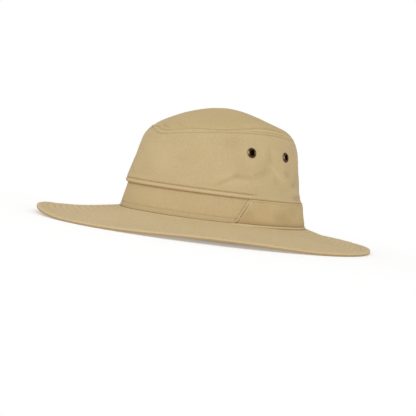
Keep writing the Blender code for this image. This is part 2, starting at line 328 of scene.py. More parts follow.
# Studio: how bright the white surround is up to a height and overhead, how far it is dimmed towards one
# azimuth, how close to that and over which height this sets in, how much light the floor sends back and
# gives off itself, the distance from the hat's middle over which that light sets in, and the soft lamp.
# Heights and closeness are parts of a direction of length 1.
SURROUND_LEVEL = 1.0
SURROUND_TOP = 0.7
SURROUND_TOP_FROM = 0.3
SURROUND_DIM = 0.5
SURROUND_DIM_AT = 158
SURROUND_DIM_SIDE = 0.6
SURROUND_DIM_FROM = (0.08, 0.22)
FLOOR_PALE = 0.85
FLOOR_GLOW = 0.27
FLOOR_DARK = (0.09, 0.14)
FLOOR_REACH = 40.0
FLOOR_SIDES = 96
LAMP_AZIMUTH = 47
LAMP_ELEVATION = 28
LAMP_ENERGY = 0.68
LAMP_SPREAD = 50

# Camera: its direction from the hat and its turn in degrees, the point that its distance is from, how far
# its aim lies across and above that point, and the width that the frame takes in there
CAMERA_AZIMUTH = 50.13
CAMERA_ELEVATION = 1.43
CAMERA_ROLL = 7.65
CAMERA_DISTANCE = 1.3103
CAMERA_CENTRE = (0.0, 0.0, 0.055)
CAMERA_AIM = (-0.0044, -0.0289)
FRAME_WIDTH = 0.4452


def linear(code):
    """Linear colour of an sRGB hex code."""
    shares = [int(code[i : i + 2], 16) / 255 for i in (1, 3, 5)]
    return tuple(share / 12.92 if share <= 0.04045 else ((share + 0.055) / 1.055) ** 2.4 for share in shares)


# Sizes and colours that a user would change


def length(name, description, default):
    return bpy.props.FloatProperty(
        name=name, description=description, default=default, min=0, precision=5, unit="LENGTH"
    )


def colour(name, description, code):
    return bpy.props.FloatVectorProperty(
        name=name, description=description, default=linear(code), min=0, max=1, subtype="COLOR"
    )


class SunHatStitching(bpy.types.PropertyGroup):
    stitch: length("Stitch", "Length of one visible stitch", 2.5 * MM)
    pitch: length("Stitch pitch", "From the start of one stitch to the start of the next", 3.3 * MM)
    thread: length("Thread", "Thickness of the sewing thread", 0.42 * MM)
    row_pitch: length("Brim row pitch", "From one stitched row of the brim to the next", 6.0 * MM)
    rim_row: length("Rim row", "From the rim to the first stitched row", 5.0 * MM)
    seam_row: length("Seam row", "From the tip's seam down to the topstitching on the wall", 2.5 * MM)
    tip_row: length("Tip row", "From the tip's seam up to the topstitching on the tip", 2.8 * MM)
    edge_row: length("Edge row", "From the band's folded edges to the topstitching", 1.9 * MM)


class SunHatCloth(bpy.types.PropertyGroup):
    crumple: length("Crumple", "Height of the soft creases of the crown's cloth", 0.35 * MM)
    pucker: length("Pucker", "Height of the small puckers that sewing draws in the cloth", 0.22 * MM)
    thread_pitch: length("Thread pitch", "From one drawn thread of the weave to the next", 1.1 * MM)


class SunHatColours(bpy.types.PropertyGroup):
    # The tip's and the band's cotton are set a little darker than the wall's; for the band this is painted
    # shade of the tuck's lip above it
    wall: colour("Wall", "Colour of the crown wall's cotton", "#C3AE83")
    tip: colour("Tip", "Colour of the tip's cotton", "#C1AB7C")
    brim: colour("Brim", "Colour of the brim's cotton", "#CEBA8F")
    band: colour("Band", "Colour of the pocket band's cotton", "#C2AC7D")
    # Partly wear and partly painted highlight on ridges, lips and folded edges; also the slubs' colour and
    # the bar tacks' thread
    worn_and_highlight: colour("Worn", "Colour of edges and ridges where the dye has faded", "#DCC9A2")
    # Painted shade in seams, grooves, creases, turned edges, inside the crown and under the brim; also the
    # darker crossings of the weave
    shaded_crease: colour("Crease", "Colour in seams, grooves and turned edges", "#8E6238")
    thread: colour("Thread", "Colour of the sewing thread", "#CDB587")
    brass: colour("Brass", "Colour of the antique brass", "#40270C")
    # Also painted glints of light at the two sides of each eyelet's flange
    rubbed_and_glint: colour("Rubbed brass", "Colour of the brass where its patina is rubbed off", "#D8C096")
    floor: colour("Floor", "Colour of the studio floor", "#FAFAFA")


# Form


def compass(azimuth, elevation):
    """Direction towards an azimuth from the front and an elevation, both in degrees."""
    azimuth, elevation = np.radians((azimuth, elevation))
    level = np.cos(elevation)
    return np.array((np.sin(azimuth) * level, -np.cos(azimuth) * level, np.sin(elevation)))


def oval(width, length_, angle, set_back=0.0):
    """Ellipse in plan: half the width times the angle's sine, half the length times its cosine."""
    return np.stack([width / 2 * np.sin(angle), set_back - length_ / 2 * np.cos(angle)], axis=-1)


def raised(plan, height):
    """Points in plan with their heights."""
    return np.concatenate([plan, np.broadcast_to(height, plan.shape[:-1])[..., None]], axis=-1)


def top_height(angle):
    """Height of the sharp shoulder: its mean, with a rise at both sides and a smaller one at the back."""
    side = -TOP_SIDE_RISE / 2 * np.cos(2 * angle)
    return TOP_HEIGHT + side - TOP_BACK_RISE / 2 * np.cos(angle)


def wall_point(share, angle):
    """Straight line from the join to the sharp shoulder, at a share of it."""
    low = raised(oval(BASE_WIDTH, BASE_LENGTH, angle, CROWN_SET_BACK), JOIN_HEIGHT)
    high = raised(oval(TOP_WIDTH, TOP_LENGTH, angle, CROWN_SET_BACK), top_height(angle))
    return low + (high - low) * np.asarray(share)[..., None]


def dome_point(share, angle):
    """Dome over the sharp shoulder: it falls from its middle with a power of the share of the way out."""
    plan = oval(TOP_WIDTH * share, TOP_LENGTH * share, angle, CROWN_SET_BACK)
    rim = TOP_HEIGHT + (top_height(angle) - TOP_HEIGHT) * share
    return raised(plan, rim + DOME_HEIGHT * (1 - share**DOME_POWER))


def wall_end():
    return 1 - SHOULDER / (TOP_HEIGHT - JOIN_HEIGHT)


def dome_end():
    return 1 - 4 * SHOULDER / (TOP_WIDTH + TOP_LENGTH)


def crown_point(climb, angle):
    """The crown without its folds: the wall's line to climb 1, then a quadratic Bezier curve over the
    shoulder to climb 2, then the dome to its middle at climb 3."""
    climb, angle = np.broadcast_arrays(np.asarray(climb, float), np.asarray(angle, float))
    wall = wall_point(np.clip(climb, 0, 1) * wall_end(), angle)
    dome = dome_point(np.clip(3 - climb, 0, 1) * dome_end(), angle)
    bend = np.clip(climb - 1, 0, 1)[..., None]
    corner = wall_point(np.ones_like(climb), angle)
    foot = wall_point(np.full_like(climb, wall_end()), angle)
    head = dome_point(np.full_like(climb, dome_end()), angle)
    shoulder = (1 - bend) ** 2 * foot + 2 * bend * (1 - bend) * corner + bend**2 * head
    return np.where(climb[..., None] <= 1, wall, np.where(climb[..., None] >= 2, dome, shoulder))


def unit(vectors):
    return vectors / np.linalg.norm(vectors, axis=-1, keepdims=True)


def outward(surface, climb, angle, step=CLIMB_STEP):
    """Outward direction of a surface: the cross product of short steps along it and up it."""
    climb = np.minimum(climb, CLIMB_MOST)
    up = surface(climb + step, angle) - surface(climb - step, angle)
    along = surface(climb, angle + step) - surface(climb, angle - step)
    return unit(np.cross(along, up))


def angle_from(angle, centre):
    """Signed angle from a centre given in degrees, in radians."""
    return (angle - np.radians(centre) + np.pi) % (2 * np.pi) - np.pi


def wall_height(climb, angle):
    """Height above the join on the straight wall."""
    return np.clip(climb, 0, 1) * wall_end() * (top_height(angle) - JOIN_HEIGHT)


def climb_at(height, angle):
    """Climb at a height above the join, on the straight wall."""
    return height / ((top_height(angle) - JOIN_HEIGHT) * wall_end())


def seam_rate(angle):
    """Metres of cloth that one whole climb covers at the tip's seam."""
    step = crown_point(SEAM + CLIMB_STEP, angle) - crown_point(SEAM - CLIMB_STEP, angle)
    return np.linalg.norm(step, axis=-1) / (2 * CLIMB_STEP)


def bell(distance, width):
    return np.exp(-((distance / width) ** 2))


def ramp(value, start, reach):
    """Climbs in a straight line from 0 at a start to 1 at a reach past it."""
    return np.clip((value - start) / reach, 0, 1)


def around(angle, row):
    """Bell curve over the angle from a row's own angle."""
    return bell(angle_from(angle, row["angle"]), np.radians(row["reach"]))


def folds(climb, angle):
    """Soft folds of the wall: a sum of bell curves across and up, cleared near the tuck and the shoulder."""
    share = np.clip(climb, 0, 1) * wall_end()
    total = sum(
        fold["depth"] * around(angle, fold) * bell(share - fold["height"], fold["height_reach"])
        for fold in FOLDS
    )
    above = wall_height(climb, angle) - TUCK_HEIGHT
    return FOLD_DEPTH * total * ramp(above, TUCK_LIP, TUCK_FADE) * np.clip(3 - 2 * climb, 0, 1)


def tuck(climb, angle, fullness):
    """The tuck's lip over the band: it comes out over its own height, and fades out up the wall. Below 1,
    its fullness rounds the lip."""
    above = wall_height(climb, angle) - TUCK_HEIGHT
    fade = np.exp(-np.clip(above - TUCK_LIP, 0, None) / TUCK_FADE)
    return (TUCK_DEPTH + TUCK_FRONT_DEPTH * np.cos(angle)) * ramp(above, 0, TUCK_LIP) ** fullness * fade


def moved_out(climb, angle, out):
    """The plain crown, moved outward by a distance at each place."""
    return crown_point(climb, angle) + out[..., None] * outward(crown_point, climb, angle)


def solid_surface(climb, angle):
    """The crown's outer face as the solids have it."""
    return moved_out(climb, angle, tuck(climb, angle, 1.0) + folds(climb, angle))


def rim_lift(angle):
    """Height of the rim's underside: a sum of squared cosine humps, 0 where the rim rests."""
    total = 0.0
    for lift in LIFTS:
        across = ramp(np.abs(angle_from(angle, lift["angle"])), 0, np.radians(lift["reach"]))
        total = total + lift["share"] * np.cos(np.pi / 2 * across) ** 2
    return RIM_LIFT * total


def brim_point(share, angle, depth=0.0):
    """The brim from the crown's foot at 0 to the rim at 1: a straight line less a shallow parabola."""
    share, angle = np.broadcast_arrays(np.asarray(share, float), np.asarray(angle, float))
    inner = oval(BASE_WIDTH, BASE_LENGTH, angle, CROWN_SET_BACK)
    outer = oval(BRIM_WIDTH, BRIM_LENGTH, angle)
    plan = inner + (outer - inner) * share[..., None]
    fall = (JOIN_HEIGHT - GAP) * (1 - share) + (rim_lift(angle) + BRIM_CLOTH) * share
    return raised(plan, fall - 4 * BRIM_HOLLOW * share * (1 - share) - depth)


def crumpled(points, size, seed, waves=28):
    """Soft random creases in space, from about -1 to 1: a sum of cosines of plane waves whose directions,
    lengths and phases are drawn from a seed."""
    draw = np.random.default_rng(seed)
    ways = unit(draw.normal(size=(waves, 3)))
    lengths = size * draw.uniform(0.7, 1.9, waves)
    phases = draw.uniform(0, 2 * np.pi, waves)
    return np.cos(points @ (ways * (2 * np.pi / lengths)[:, None]).T + phases).sum(axis=-1) / np.sqrt(waves)


def rumpled(points, soft, sharp, share):
    """Soft random creases with a share of sharper ones in them."""
    return crumpled(points, *soft) - share * np.abs(crumpled(points, *sharp))


def puffs(climb, angle):
    """Broad puffs of the crown: a sum of bell curves over the angle and the climb."""
    return sum(
        puff["rise"] * around(angle, puff) * bell(climb - puff["climb"], puff["climb_reach"])
        for puff in PUFFS
    )


def creases(climb, angle):
    """Line creases: bell curves over the distance from a straight line on the unrolled cloth, which grow
    shallow towards its ends. Gives how far they stand out and the painted shade that follows them, which is a
    painted highlight where the shade is negative."""
    out, tone = 0.0, 0.0
    height = np.interp(climb, range(4), UNROLLED_RISE)
    for shaded_crease in CREASES:
        low, high = np.interp((shaded_crease["climb"], shaded_crease["end_climb"]), range(4), UNROLLED_RISE)
        across, above = UNROLLED_GIRTH * angle_from(angle, shaded_crease["angle"]), height - low
        way = np.array((UNROLLED_GIRTH * np.radians(shaded_crease["end_angle"] - shaded_crease["angle"]), high - low))
        span = np.linalg.norm(way)
        way = way / span
        along = (across * way[0] + above * way[1]) / span
        away = across * way[1] - above * way[0]
        past = np.clip(np.abs(along - 0.5) - 0.25, 0, None) / 0.25
        line = bell(away, shaded_crease["width"] * MM) * bell(past, 1.0)
        out = out - shaded_crease["depth"] * MM * line
        tone = tone - shaded_crease["shade"] * line
    return out, tone


def eyelet_places():
    """Name and angle in degrees of each eyelet."""
    for side, sign in (("left", 1), ("right", -1)):
        for end, spread in (("front", -EYELET_SPREAD), ("rear", EYELET_SPREAD)):
            yield f"eyelet_{side}_{end}", sign * (EYELET_MIDDLE + spread)


def eyelet_frame(angle_degrees):
    """Place and direction of an eyelet on the wall."""
    angle = np.radians(angle_degrees)
    climb = EYELET_HEIGHT / wall_end()
    place = Vector(solid_surface(np.array(climb), np.array(angle)))
    seat = EYELET_WIDTH / BASE_LENGTH
    out = Vector(outward(solid_surface, np.array(climb), np.array(angle), seat))
    return Matrix.Translation(place) @ out.to_track_quat("Z", "Y").to_matrix().to_4x4()


def seam_rows(angle):
    """How far the stitched rows run below and above the tip's seam: even distances and the bell curves by
    which the sewing wandered."""
    sewing = bpy.context.scene.hat_stitching
    rows = {-1: sewing.seam_row + 0 * angle, 1: sewing.tip_row + 0 * angle}
    for turn in ROW_WANDER:
        rows[turn["side"]] = rows[turn["side"]] + turn["shift"] * around(angle, turn)
    return rows[-1], rows[1]


def seam_relief(climb, angle, cloth):
    """Ditch of the tip's seam with a stitched groove on each side of it, and the puckers that the sewing
    draws: bell curves over the distance from the seam."""
    away = (climb - SEAM) * seam_rate(angle)
    ditch = bell(away, DITCH_WIDTH)
    below, above = seam_rows(angle)
    groove = bell(np.abs(away) - np.where(away > 0, above, below), GROOVE_WIDTH)
    # Whole numbers of waves round the hat, so that they close
    ruffle = np.cos(61 * angle + 2.1 * np.sin(7 * angle)) * np.cos(23 * angle + 1.0)
    out = cloth.pucker * ruffle * bell(away, 6 * MM) - DITCH_DEPTH * ditch - GROOVE_DEPTH * groove
    # Painted shade in the ditch and in the grooves, and a paler strip between the two rows that is partly
    # wear and partly painted highlight
    strip = bell(away, 3 * MM) * (1 - ditch) * (1 - groove)
    return out, 0.22 * strip - 0.15 * ditch - 0.36 * groove


def wall_relief(climb, angle):
    """How far the wall's cloth stands out of the plain crown, and its tone: painted shade down to -1 in
    creases and grooves, and up to 1 a paler colour on ridges that is partly wear and partly painted
    highlight."""
    cloth = bpy.context.scene.hat_cloth
    base = crown_point(climb, angle)
    height = wall_height(climb, angle)
    above = height - TUCK_HEIGHT
    # 1 where the tuck's lip has its stitched row, and 0 behind its end
    front = 0.5 + 0.5 * np.cos(np.pi * ramp(np.abs(angle_from(angle, 0)), *LIP_ROW_END))
    clear = ramp(above, TUCK_LIP, 10 * MM) * ramp(SEAM - climb, 0, 0.4)
    crumple = rumpled(base, *WALL_CRUMPLE) * clear
    lines, line_tone = creases(climb, angle)
    press = 1 - LIP_PRESS * bell(angle_from(angle, LIP_PRESS_AT), np.radians(LIP_PRESS_REACH))
    out = tuck(climb, angle, TUCK_FULLNESS) * press + folds(climb, angle)
    out = out + puffs(climb, angle) * ramp(above, TUCK_LIP, PUFF_START)
    out = out + lines * ramp(above, 0, 4 * MM) + cloth.crumple * crumple
    lip_row = bell(above - LIP_ROW, GROOVE_WIDTH) * front
    hem_row = bell(height - HEM_ROW, GROOVE_WIDTH)
    seam_out, seam_tone = seam_relief(climb, angle, cloth)
    out = out - 1.3 * GROOVE_DEPTH * lip_row - GROOVE_DEPTH * hem_row + seam_out
    # Painted shade in the stitched rows, at the foot of the wall by the join and under the tuck's lip, with
    # the creases' own; a painted highlight along the lip; and faint painted shade and highlight that follow
    # the crumples
    tone = seam_tone + line_tone * ramp(above, 0, 2 * MM) - 0.6 * lip_row - 0.10 * hem_row
    tone = tone - 0.14 * bell(height, 3.6 * MM) - (0.42 - 0.12 * front) * bell(above, 0.7 * MM)
    tone = tone + (0.15 + 0.3 * front) * bell(above - 1.9 * MM, 1.1 * MM) + 0.03 * crumple
    for _, degrees in eyelet_places():
        # Pressed flat and down round each eyelet, with small pleats, a ring of painted shade just outside the
        # flange and a ring of painted highlight on the pleats
        offset = base - np.array(eyelet_frame(degrees).translation)
        away = np.linalg.norm(offset, axis=-1)
        turn = np.arctan2(offset[..., 2], angle_from(angle, degrees))
        out = out - cloth.crumple * crumple * bell(away, 9 * MM) - EYELET_PRESS * bell(away, 6 * MM)
        out = out + PLEAT_RISE * bell(away - PLEATS_AT, 1.6 * MM) * np.cos(7 * turn + 1)
        tone = tone - 0.05 * bell(away - 5.6 * MM, 0.8 * MM) + 0.12 * bell(away - PLEATS_AT, 0.9 * MM)
    return out, tone


def tip_relief(climb, angle):
    """The same for the tip, whose broad soft creases fade towards the seam."""
    cloth = bpy.context.scene.hat_cloth
    crumple = rumpled(crown_point(climb, angle), *TIP_CRUMPLE) * ramp(climb, SEAM, 0.5)
    seam_out, seam_tone = seam_relief(climb, angle, cloth)
    lines, line_tone = creases(climb, angle)
    out = 1.2 * cloth.crumple * crumple + seam_out + puffs(climb, angle) + lines
    # Tone: the painted shade and highlight of the seam and of the creases, and faint painted shade and
    # highlight that follow the crumples
    return out, seam_tone + line_tone + 0.03 * crumple


def skin(relief, climb, angle):
    """Outer face of the crown's cloth with its relief, and its tone."""
    out, tone = relief(climb, angle)
    return moved_out(climb, angle, out), tone


def brim_rows():
    """Shares of the brim at its stitched rows, from the rim to the join."""
    sewing = bpy.context.scene.hat_stitching
    inset = np.arange(sewing.rim_row, BRIM_SPAN - 2 * MM, sewing.row_pitch)
    return 1 - inset / BRIM_SPAN


def rim_bend(inset, angle):
    """How much lower the brim hangs in its soft bends: bell curves over the angle and over the distance from
    the rim."""
    return sum(bend["droop"] * around(angle, bend) * bell(inset, bend["inset"]) for bend in RIM_BENDS)


def brim_relief(share, angle):
    """Quilting between the stitched rows, the piped ridge beside the join and the roll at the rim: bell
    curves over the distance from each, with small puckers between the rows. Gives how far the upper face
    stands up out of the plain brim, and its tone."""
    sewing, cloth = bpy.context.scene.hat_stitching, bpy.context.scene.hat_cloth
    inset = (1 - share) * BRIM_SPAN
    phase = (inset - sewing.rim_row) / sewing.row_pitch
    row = np.round(phase)
    groove = bell((phase - row) * sewing.row_pitch, QUILT_WIDTH) * ramp(inset, 0.5 * sewing.rim_row, 1 * MM)
    # Each row's puckers are turned a little against those of the row beside it
    wave = np.cos(95 * angle + 2.6 * row + 3 * np.sin(5 * angle)) * np.cos(41 * angle - 1.9 * row)
    pucker = cloth.pucker * wave * (1 - groove) * ramp(share, 0, 0.125)
    broad = BRIM_WAVE * crumpled(brim_point(share, angle), *BRIM_CRUMPLE)
    broad = broad * ramp(inset, 0, 20 * MM) * ramp(share, 0, 0.25)
    from_front = np.degrees(np.abs(angle_from(angle, 0)))
    behind, side = ramp(from_front, *PIPING_BEHIND), ramp(from_front, *PIPING_SIDE)
    past = share * BRIM_SPAN - PIPING_AT - PIPING_PAST_BAND * side
    piping = PIPING_RISE * bell(past, PIPING_WIDTH) * (0.25 + 0.5 * behind + 0.25 * side)
    roll = RIM_ROLL * bell(inset - RIM_ROLL_AT, RIM_ROLL_WIDTH)
    out = pucker + broad + piping + roll - QUILT_DEPTH * groove - rim_bend(inset, angle)
    # Tone: a painted highlight on the piped ridge at the sides and back, painted shade in the crease just
    # past it and in the stitched rows
    tone = 0.5 * side * bell(past, 0.6 * MM) - 0.8 * side * bell(past - 1.3 * MM, 0.6 * MM) - 0.25 * groove
    return out, tone


def brim_surface(share, angle):
    """Upper face of the brim, with its relief standing up out of it, and its tone."""
    out, tone = brim_relief(share, angle)
    place = brim_point(share, angle)
    return raised(place[..., :2], place[..., 2] + out), tone


def brim_underside(share, angle):
    """Lower face of the brim, which lies flat where it rests: its cloth's thickness under the plain brim,
    with its soft bends."""
    lower = brim_point(share, angle, BRIM_CLOTH)
    lower[..., 2] -= rim_bend((1 - share) * BRIM_SPAN, angle)
    foot = np.clip((share - 1 + BRIM_FOOT / BRIM_SPAN) * 60 + 1, 0, 1)
    rest = rim_lift(angle) - rim_bend(0.0, angle)
    lower[..., 2] = lower[..., 2] * (1 - foot) + np.maximum(rest, 0) * foot
    return lower


def band_end(rise):
    """Angle of the band's slanted front end at a share of its rise."""
    return np.radians(BAND_END_LOW + (BAND_END_HIGH - BAND_END_LOW) * rise)


def band_place(run, rise):
    """Angle and height above the join at a share of the band's run, from -1 at the right front end to 1 at
    the left one, and at a share of its rise."""
    height = BAND_HEM_LIFT + (TUCK_HEIGHT - BAND_TOP_GAP - BAND_HEM_LIFT) * rise
    return np.pi + run * (np.pi - band_end(rise)), height


def band_relief(run, rise):
    """How far the band's outer face stands off its own plain face: a bulge between its hem and its top, a
    lift of its open front mouths, and stitched grooves beside its edges. Gives that, its tone, the lift
    alone and the distance from the nearer mouth."""
    sewing = bpy.context.scene.hat_stitching
    angle, height = band_place(run, rise)
    slant = np.arctan2(np.radians(BAND_END_HIGH - BAND_END_LOW) * BASE_WIDTH / 2, TUCK_HEIGHT)
    mouth = (1 - np.abs(run)) * (np.pi - band_end(rise)) * BAND_RADIUS * np.cos(slant)
    hem, below_top = rise * TUCK_HEIGHT, (1 - rise) * TUCK_HEIGHT
    edge_groove = bell(mouth - sewing.edge_row, GROOVE_WIDTH)
    top_groove = bell(below_top - sewing.edge_row, GROOVE_WIDTH)
    middle = np.sin(np.pi * np.clip(rise, 0, 1))
    bulge = BAND_BULGE * middle**0.8 + BAND_FLARE * (1 - rise) ** 2 * (1 - bell(mouth, 20 * MM))
    lift = MOUTH_LIFT * bell(mouth, MOUTH_REACH) * middle
    crumple = rumpled(crown_point(climb_at(height, angle), angle), *BAND_CRUMPLE)
    out = bulge + lift + BAND_CRUMPLE_RISE * crumple * middle
    out = out - GROOVE_DEPTH * np.maximum(edge_groove, top_groove)
    # Painted highlight on the folded edges, along the top and on a line just behind each edge's stitched
    # row; painted shade in the grooves and along the hem; and faint painted shade and highlight that follow
    # the crumples
    tone = 0.6 * bell(mouth, 0.7 * MM) - 0.6 * edge_groove - 0.12 * top_groove + 0.05 * crumple
    tone = tone - 0.12 * bell(hem, 4 * MM) - 0.22 * bell(hem, 1.6 * MM) + 0.5 * bell(below_top, 0.8 * MM)
    tone = tone + 0.3 * bell(mouth - 3.2 * MM, 0.6 * MM) * middle
    for dent in BAND_DENTS:
        spot = around(angle, dent) * bell(height - dent["height"] * MM, dent["height_reach"] * MM)
        out = out + dent["rise"] * MM * spot * middle
        tone = tone + dent["tone"] * spot
    return out, tone, lift, mouth


def band_surface(run, rise):
    """Outer face of the band with its relief."""
    angle, height = band_place(run, rise)
    return moved_out(climb_at(height, angle), angle, band_relief(run, rise)[0] + GAP + BAND_CLOTH)


# Meshes


def dressed(made, node):
    """Makes a finished piece ride on the frame in its node's place."""
    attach(made, BODY)
    if node:
        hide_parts(node)


def ring_angles(count=STATIONS):
    return np.arange(count) * 2 * np.pi / count


def mesh_object(name, points, faces, finish, uv=None, tone=None):
    """An object of points and faces, turned right side out if its signed volume is negative. UV is given for
    each corner of each face, and tone for each point."""
    first = points[[face[0] for face in faces]]
    fan = [(i, face[k], face[k + 1]) for i, face in enumerate(faces) for k in range(1, len(face) - 1)]
    fan = np.array(fan)
    volume = np.einsum("ij,ij->", first[fan[:, 0]], np.cross(points[fan[:, 1]], points[fan[:, 2]]))
    if volume < 0:
        faces = [face[::-1] for face in faces]
        uv = None if uv is None else [corners[::-1] for corners in uv]
    mesh = bpy.data.meshes.new(name)
    mesh.from_pydata(points.tolist(), [], faces)
    if uv is not None:
        layer = mesh.uv_layers.new(name="UVMap")
        layer.data.foreach_set("uv", np.concatenate([np.asarray(c, np.float32).ravel() for c in uv]))
    if tone is not None:
        layer = mesh.attributes.new("tone", "FLOAT", "POINT")
        layer.data.foreach_set("value", tone.astype(np.float32).ravel())
    mesh.shade_smooth()
    mesh.materials.append(finish)
    made = bpy.data.objects.new(name, mesh)
    bpy.context.collection.objects.link(made)
    return made


def closed_grid(name, grid, uv, finish, tone, joined):
    """A grid of closed sections. Joined, its last section meets its first, and otherwise a fan of triangles
    closes each end. UV has one more section than a joined grid, for the corners past its last one."""
    count, corners = grid.shape[:2]
    i, j = np.meshgrid(np.arange(count if joined else count - 1), np.arange(corners), indexing="ij")
    ahead, after = i + 1, (j + 1) % corners
    here, past = i * corners, (ahead % count) * corners
    quads = np.stack([here + j, past + j, past + after, here + after], axis=-1).reshape(-1, 4)
    quad_uv = np.stack([uv[i, j], uv[ahead, j], uv[ahead, after], uv[i, after]], axis=-2).reshape(-1, 4, 2)
    faces, face_uv = quads.tolist(), list(quad_uv)
    points, tones = grid.reshape(-1, 3), tone.ravel()
    for row, order in () if joined else ((0, 1), (count - 1, -1)):
        middle, centre = len(points), uv[row].mean(axis=0)
        points = np.concatenate([points, grid[row].mean(axis=0)[None]])
        tones = np.append(tones, tone[row].mean())
        for k in range(corners):
            pair = (k, (k + 1) % corners)[::order]
            faces.append([middle, *(row * corners + end for end in pair)])
            face_uv.append(np.array([centre, *(uv[row, end] for end in pair)]))
    return mesh_object(name, points, faces, finish, face_uv, tones)


def along_path(path, reach, at):
    """Places along a path at distances from its start."""
    return np.stack([np.interp(at, reach, path[:, k]) for k in range(3)], axis=-1)


def stitch_points(path, normals, sewing, across=0.0, pitch=None, long=None):
    """Rings of points of the stitches along a path: each is a short tube whose ends sink into the cloth. An
    across of 1 lays each stitch across the path, as in a bar tack."""
    reach = np.concatenate([[0], np.cumsum(np.linalg.norm(np.diff(path, axis=0), axis=1))])
    long = long or sewing.stitch
    count = max(1, round(reach[-1] / (pitch or sewing.pitch)))
    starts = (np.arange(count) + 0.5) / count * reach[-1]
    at = np.clip(starts[:, None] + (1 - across) * STITCH_AT * long, 0, reach[-1])
    low, high = np.clip((at - STITCH_STEP, at + STITCH_STEP), 0, reach[-1])
    centre = along_path(path, reach, at)
    ahead = unit(along_path(path, reach, high) - along_path(path, reach, low))
    out = unit(along_path(normals, reach, at))
    side = unit(np.cross(out, ahead))
    if across:
        centre = centre + (STITCH_AT * long)[:, None] * side
        side = ahead
    radius = sewing.thread / 2
    centre = centre + ((0.45 - 1.6 * STITCH_SINK) * radius)[:, None] * out
    turn = ring_angles(STITCH_SIDES)
    ring = np.cos(turn)[:, None] * side[..., None, :] + np.sin(turn)[:, None] * out[..., None, :]
    return centre[..., None, :] + (radius * STITCH_GIRTH)[:, None, None] * ring


def stitching(name, runs, finish):
    """All stitches of a group as one mesh of closed tubes."""
    tubes = np.concatenate(runs)
    count, stations, sides = tubes.shape[:3]
    i, j = np.meshgrid(np.arange(stations - 1) * sides, np.arange(sides), indexing="ij")
    after = (j + 1) % sides
    quads = np.stack([i + j, i + after, i + sides + after, i + sides + j], axis=-1).reshape(1, -1, 4)
    starts = (np.arange(count) * stations * sides)[:, None, None]
    ends = np.stack([np.arange(sides)[::-1], (stations - 1) * sides + np.arange(sides)])
    faces = (quads + starts).reshape(-1, 4).tolist() + (ends[None] + starts).reshape(-1, sides).tolist()
    dressed(mesh_object(name, tubes.reshape(-1, 3), faces, finish), None)


# Materials


def add_node(tree, kind, out, inputs=None, **settings):
    """Adds a node with its settings, sets or links its inputs, and gives one of its outputs."""
    made = tree.nodes.new(kind)
    for name, value in settings.items():
        setattr(made, name, value)
    for name, value in (inputs or {}).items():
        if isinstance(value, bpy.types.NodeSocket):
            tree.links.new(value, made.inputs[name])
        else:
            made.inputs[name].default_value = value
    return None if out is None else made.outputs[out]


def opaque(values):
    """A colour with full alpha."""
    return (*values, 1.0)


def new_finish(name, recipe, *parts):
    """A material from its recipe, which adds its own nodes and gives the inputs of the shader."""
    finish = bpy.data.materials.new(name)
    finish.use_nodes = True
    tree = finish.node_tree
    tree.nodes.clear()
    shader = add_node(tree, "ShaderNodeBsdfPrincipled", "BSDF", recipe(tree, *parts))
    add_node(tree, "ShaderNodeOutputMaterial", None, {"Surface": shader})
    return finish


def cotton_canvas(tree, ground):
    """Woven cotton: matt, with a soft sheen of short fibres, threads that each took the dye a little
    differently, cloudy fading, painted shade in creases and a paler colour on ridges that is partly wear and
    partly painted highlight."""
    colours, cloth = bpy.context.scene.hat_colours, bpy.context.scene.hat_cloth
    uv = add_node(tree, "ShaderNodeUVMap", "UV", uv_map="UVMap")
    space = add_node(tree, "ShaderNodeTexCoord", "Object")
    # Real threads of this cloth are about 0.4 mm apart, which is finer than the render can show, so they are
    # drawn at the cloth's thread pitch
    weave = {"Vector": uv, "Scale": WAVE_REPEAT / cloth.thread_pitch, "Distortion": 1.0, "Detail": 1.0}
    warp = add_node(tree, "ShaderNodeTexWave", "Fac", weave, bands_direction="X")
    weft = add_node(tree, "ShaderNodeTexWave", "Fac", weave, bands_direction="Y")
    crossing = add_node(tree, "ShaderNodeMath", 0, {0: warp, 1: weft}, operation="MULTIPLY")
    # Slubs are thick places in the yarn, 2 mm apart, and the dye's clouds are about 40 mm across
    slub = add_node(tree, "ShaderNodeTexNoise", "Fac", {"Vector": space, "Scale": 500.0, "Detail": 2.0})
    clouds = add_node(tree, "ShaderNodeTexNoise", "Fac", {"Vector": space, "Scale": 25.0, "Detail": 4.0})
    tone = add_node(tree, "ShaderNodeAttribute", "Fac", attribute_name="tone")
    dye_and_painted_light, pale = (opaque(share * part for part in ground) for share in (0.96, 1.03))
    worn_and_highlight, shaded_crease = opaque(colours.worn_and_highlight), opaque(colours.shaded_crease)
    # Each layer: what drives it, over which values, its share at their two ends, and its colour
    layers = (
        (clouds, 0.3, 0.7, 0.0, 1.0, pale),
        (slub, 0.35, 0.7, 0.0, 0.22, worn_and_highlight),
        (crossing, 0.0, 0.3, 0.16, 0.0, shaded_crease),
        # The tone paints a paler colour that is partly wear and partly painted highlight, and painted shade
        # in the darker colour
        (tone, 0.0, 1.0, 0.0, 1.0, worn_and_highlight),
        (tone, 0.0, -1.0, 0.0, 1.0, shaded_crease),
    )
    for *spread, colour_over in layers:
        share = add_node(tree, "ShaderNodeMapRange", "Result", dict(enumerate(spread)))
        dye_and_painted_light = add_node(tree, "ShaderNodeMix", 2, {0: share, 6: dye_and_painted_light, 7: colour_over}, data_type="RGBA")
    creasing = {"Height": slub, "Distance": 0.25 * MM, "Strength": 0.7}
    creasing = add_node(tree, "ShaderNodeBump", "Normal", creasing)
    threads = {"Height": crossing, "Distance": 0.10 * MM, "Strength": 0.8, "Normal": creasing}
    return {
        "Base Color": dye_and_painted_light,
        "Roughness": 0.88,
        "Normal": add_node(tree, "ShaderNodeBump", "Normal", threads),
        "Specular IOR Level": 0.12,
        "Sheen Weight": 0.04,
        "Sheen Roughness": 0.5,
    }


